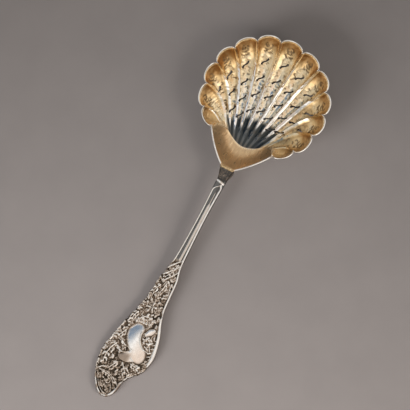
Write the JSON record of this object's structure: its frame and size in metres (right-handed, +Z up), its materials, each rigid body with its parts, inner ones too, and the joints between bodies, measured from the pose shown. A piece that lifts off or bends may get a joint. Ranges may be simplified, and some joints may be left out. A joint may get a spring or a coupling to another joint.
{
  "type": "sprinkling spoon",
  "caption": "Silver sugar sifter spoon: pierced, fluted scallop-shell bowl gilt inside, slim filleted stem and an asymmetrical rocaille handle end with a blank cartouche.",
  "frame": {"origin": "on the table, under the middle of the spoon's length and width", "axes": "+X from the handle tip to the front of the bowl, +Z up out of the bowl"},
  "size_m": [0.21, 0.0692, 0.0139],
  "materials": {
    "gilt_silver": "polished gilding inside, silver outside and on the rim",
    "silver": "polished high points with dark tarnish in the recesses",
    "solder": "satin"
  },
  "bodies": {
    "root": {"bowl_shell": "gilt_silver", "handle": "silver", "solder_seam": "solder"}
  },
  "joints": []
}
